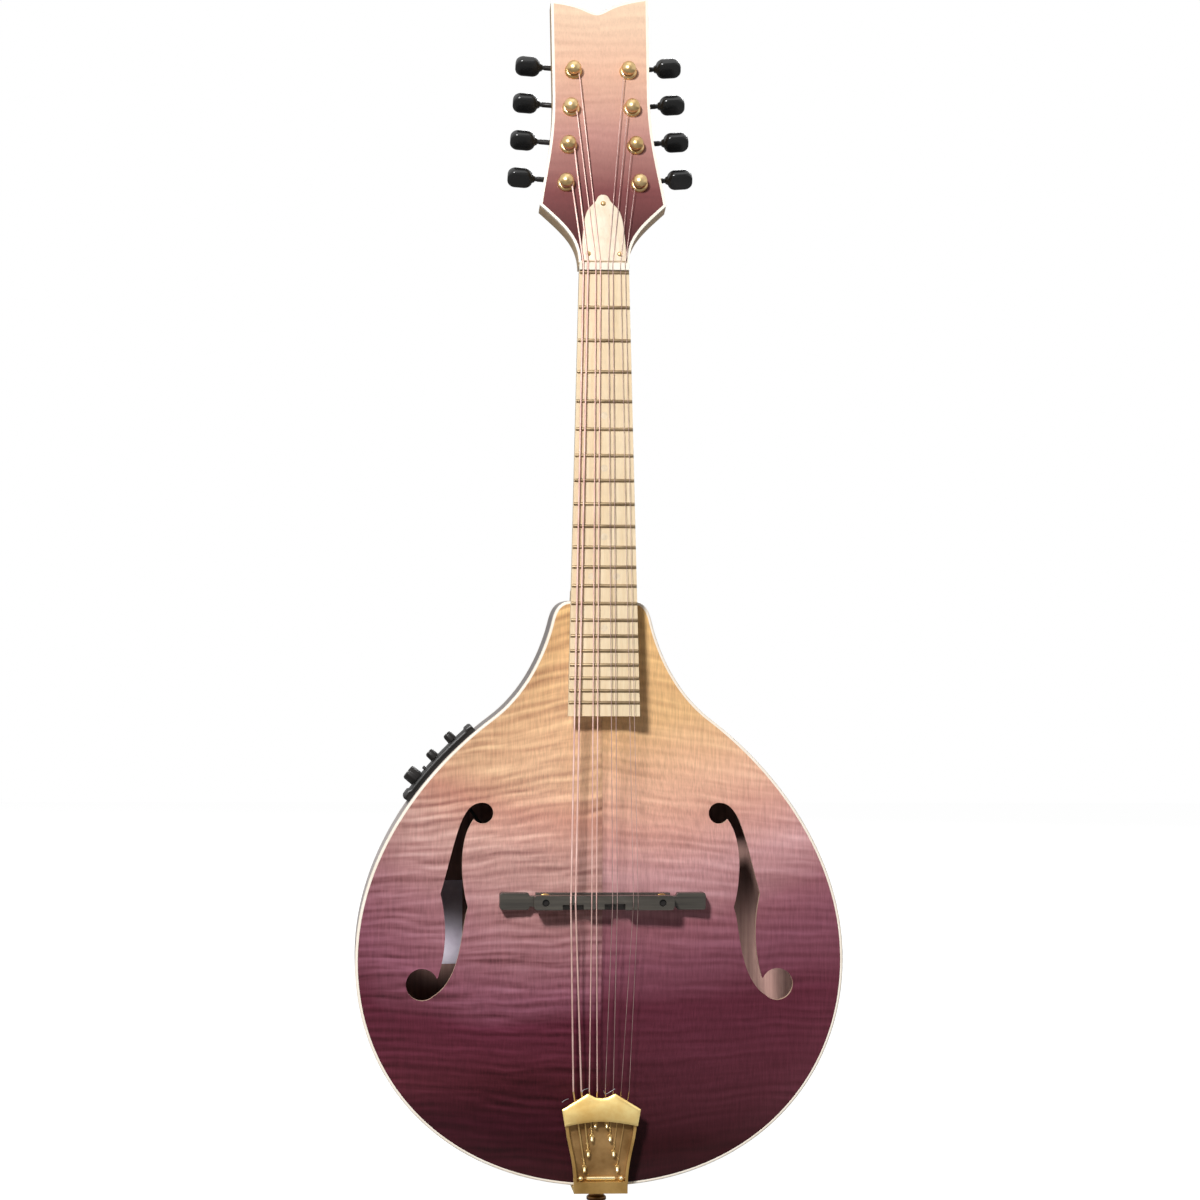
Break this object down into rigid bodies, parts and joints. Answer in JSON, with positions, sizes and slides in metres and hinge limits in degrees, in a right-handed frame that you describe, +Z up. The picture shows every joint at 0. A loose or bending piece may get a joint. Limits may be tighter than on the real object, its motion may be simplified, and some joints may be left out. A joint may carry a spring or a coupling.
{
  "type": "mandolin",
  "caption": "Round-bodied archtop mandolin with f-holes, paired strings, worm-geared tuners, a thumbwheel bridge, a cast tailpiece and a side preamp.",
  "frame": {"origin": "on the end-pin jack's axis, where the body ends at the tail, midway between the two plates' edges", "axes": "+Z up the neck, -Y out of the top towards the player's audience, +X towards the treble side"},
  "size_m": [0.275, 0.0856, 0.6858],
  "materials": {
    "maple_top": "satin lacquered",
    "maple_sides": "satin lacquered",
    "maple_neck": "satin",
    "spruce": "raw",
    "maple_board": "satin",
    "veneer": "gloss",
    "dark_wood": "oiled",
    "ivory_binding": "gloss",
    "pearl": "pearl",
    "bone": "satin",
    "fret_metal": "polished",
    "gold": "gold plated",
    "steel": "satin",
    "black_metal": "black, gloss",
    "black_plastic": "satin",
    "bronze_wire": "wound wire",
    "steel_wire": "bright",
    "cable": "matt"
  },
  "bodies": {
    "instrument": {"top_plate": "maple_top", "back_plate": "maple_sides", "rib_bass": "maple_sides", "rib_treble": "maple_sides", "linings": "spruce", "body_binding": "ivory_binding", "neck_block": "spruce", "tail_block": "spruce", "tone_bars": "spruce", "neck": "maple_neck", "heel_cap": "ivory_binding", "head_veneer": "veneer", "head_binding": "ivory_binding", "fretboard": "maple_board", "fretboard_riser": "maple_sides", "frets": "fret_metal", "fret_markers": "pearl", "nut": "bone", "truss_rod": "steel", "truss_rod_cover": "maple_board", "head_screws": "gold", "tuner_plate_bass": "gold", "tuner_plate_treble": "gold", "tuner_bushings": "gold", "bridge_base": "dark_wood", "bridge_posts": "steel", "tailpiece": "gold", "tailpiece_bar": "gold", "tailpiece_screws": "gold", "output_jack": "gold", "jack_nut": "steel", "preamp_panel": "black_plastic", "preamp_housing": "black_plastic", "pickup": "gold", "leads": "cable", "wound_strings": "bronze_wire", "plain_strings": "steel_wire"},
    "key_bass_1": {"key_bass_1": "black_metal"},
    "post_bass_1": {"post_bass_1": "gold"},
    "key_bass_2": {"key_bass_2": "black_metal"},
    "post_bass_2": {"post_bass_2": "gold"},
    "key_bass_3": {"key_bass_3": "black_metal"},
    "post_bass_3": {"post_bass_3": "gold"},
    "key_bass_4": {"key_bass_4": "black_metal"},
    "post_bass_4": {"post_bass_4": "gold"},
    "key_treble_1": {"key_treble_1": "black_metal"},
    "post_treble_1": {"post_treble_1": "gold"},
    "key_treble_2": {"key_treble_2": "black_metal"},
    "post_treble_2": {"post_treble_2": "gold"},
    "key_treble_3": {"key_treble_3": "black_metal"},
    "post_treble_3": {"post_treble_3": "gold"},
    "key_treble_4": {"key_treble_4": "black_metal"},
    "post_treble_4": {"post_treble_4": "gold"},
    "saddle": {"bridge_saddle": "dark_wood"},
    "wheel_bass": {"bridge_wheel_bass": "gold"},
    "wheel_treble": {"bridge_wheel_treble": "gold"},
    "volume_knob": {"volume_knob": "black_plastic"},
    "bass_knob": {"bass_knob": "black_plastic"},
    "treble_knob": {"treble_knob": "black_plastic"},
    "push_button": {"push_button": "black_plastic"}
  },
  "joints": [
    {"name": "key_bass_1_turn", "type": "hinge", "parent": "instrument", "child": "key_bass_1", "pos_m": [-0.02008, 0.00911, 0.56781], "axis": [-0.9972, 0.0203, 0.0716], "continuous": true},
    {"name": "post_bass_1_turn", "type": "hinge", "parent": "instrument", "child": "post_bass_1", "pos_m": [-0.02075, -0.00382, 0.56214], "axis": [0, 0.9622, -0.2723], "continuous": true},
    {"name": "key_bass_2_turn", "type": "hinge", "parent": "instrument", "child": "key_bass_2", "pos_m": [-0.01837, 0.01536, 0.58988], "axis": [-0.9972, 0.0203, 0.0716], "continuous": true},
    {"name": "post_bass_2_turn", "type": "hinge", "parent": "instrument", "child": "post_bass_2", "pos_m": [-0.01904, 0.00242, 0.58421], "axis": [0, 0.9622, -0.2723], "continuous": true},
    {"name": "key_bass_3_turn", "type": "hinge", "parent": "instrument", "child": "key_bass_3", "pos_m": [-0.01665, 0.0216, 0.61195], "axis": [-0.9972, 0.0203, 0.0716], "continuous": true},
    {"name": "post_bass_3_turn", "type": "hinge", "parent": "instrument", "child": "post_bass_3", "pos_m": [-0.01733, 0.00867, 0.60628], "axis": [0, 0.9622, -0.2723], "continuous": true},
    {"name": "key_bass_4_turn", "type": "hinge", "parent": "instrument", "child": "key_bass_4", "pos_m": [-0.01494, 0.02785, 0.63402], "axis": [-0.9972, 0.0203, 0.0716], "continuous": true},
    {"name": "post_bass_4_turn", "type": "hinge", "parent": "instrument", "child": "post_bass_4", "pos_m": [-0.01561, 0.01491, 0.62835], "axis": [0, 0.9622, -0.2723], "continuous": true},
    {"name": "key_treble_1_turn", "type": "hinge", "parent": "instrument", "child": "key_treble_1", "pos_m": [0.02008, 0.00911, 0.56781], "axis": [0.9972, 0.0203, 0.0716], "continuous": true},
    {"name": "post_treble_1_turn", "type": "hinge", "parent": "instrument", "child": "post_treble_1", "pos_m": [0.02075, -0.00382, 0.56214], "axis": [0, 0.9622, -0.2723], "continuous": true},
    {"name": "key_treble_2_turn", "type": "hinge", "parent": "instrument", "child": "key_treble_2", "pos_m": [0.01837, 0.01536, 0.58988], "axis": [0.9972, 0.0203, 0.0716], "continuous": true},
    {"name": "post_treble_2_turn", "type": "hinge", "parent": "instrument", "child": "post_treble_2", "pos_m": [0.01904, 0.00242, 0.58421], "axis": [0, 0.9622, -0.2723], "continuous": true},
    {"name": "key_treble_3_turn", "type": "hinge", "parent": "instrument", "child": "key_treble_3", "pos_m": [0.01665, 0.0216, 0.61195], "axis": [0.9972, 0.0203, 0.0716], "continuous": true},
    {"name": "post_treble_3_turn", "type": "hinge", "parent": "instrument", "child": "post_treble_3", "pos_m": [0.01733, 0.00867, 0.60628], "axis": [0, 0.9622, -0.2723], "continuous": true},
    {"name": "key_treble_4_turn", "type": "hinge", "parent": "instrument", "child": "key_treble_4", "pos_m": [0.01494, 0.02785, 0.63402], "axis": [0.9972, 0.0203, 0.0716], "continuous": true},
    {"name": "post_treble_4_turn", "type": "hinge", "parent": "instrument", "child": "post_treble_4", "pos_m": [0.01561, 0.01491, 0.62835], "axis": [0, 0.9622, -0.2723], "continuous": true},
    {"name": "saddle_rise", "type": "slide", "parent": "instrument", "child": "saddle", "axis": [0, -1, 0], "range_m": [-0.0005, 0.0015], "deforming": ["wound_strings", "plain_strings"]},
    {"name": "wheel_bass_turn", "type": "hinge", "parent": "saddle", "child": "wheel_bass", "pos_m": [-0.0325, -0.0424, 0.16164], "axis": [0, -1, 0], "range_deg": [-285, 850]},
    {"name": "wheel_treble_turn", "type": "hinge", "parent": "saddle", "child": "wheel_treble", "pos_m": [0.0325, -0.0424, 0.16164], "axis": [0, -1, 0], "range_deg": [-285, 850]},
    {"name": "volume_knob_turn", "type": "hinge", "parent": "instrument", "child": "volume_knob", "pos_m": [-0.10385, 0, 0.22865], "axis": [-0.7808, 0, 0.6248], "range_deg": [-150, 150]},
    {"name": "bass_knob_turn", "type": "hinge", "parent": "instrument", "child": "bass_knob", "pos_m": [-0.09359, 0, 0.24055], "axis": [-0.7336, 0, 0.6795], "range_deg": [-150, 150]},
    {"name": "treble_knob_turn", "type": "hinge", "parent": "instrument", "child": "treble_knob", "pos_m": [-0.08375, 0, 0.25053], "axis": [-0.6897, 0, 0.7241], "range_deg": [-150, 150]},
    {"name": "button_press", "type": "slide", "parent": "instrument", "child": "push_button", "axis": [0.7588, 0, -0.6513], "range_m": [0, 0.0008], "stiffness_N_per_m": 400}
  ],
  "couplings": [
    {"joint": "post_bass_1_turn", "follows": "key_bass_1_turn", "ratio": -0.071429},
    {"joint": "post_bass_2_turn", "follows": "key_bass_2_turn", "ratio": -0.071429},
    {"joint": "post_bass_3_turn", "follows": "key_bass_3_turn", "ratio": -0.071429},
    {"joint": "post_bass_4_turn", "follows": "key_bass_4_turn", "ratio": -0.071429},
    {"joint": "post_treble_1_turn", "follows": "key_treble_1_turn", "ratio": -0.071429},
    {"joint": "post_treble_2_turn", "follows": "key_treble_2_turn", "ratio": -0.071429},
    {"joint": "post_treble_3_turn", "follows": "key_treble_3_turn", "ratio": -0.071429},
    {"joint": "post_treble_4_turn", "follows": "key_treble_4_turn", "ratio": -0.071429},
    {"joint": "wheel_bass_turn", "follows": "saddle_rise", "rad_per_m": 8976},
    {"joint": "wheel_treble_turn", "follows": "saddle_rise", "rad_per_m": 8976}
  ]
}
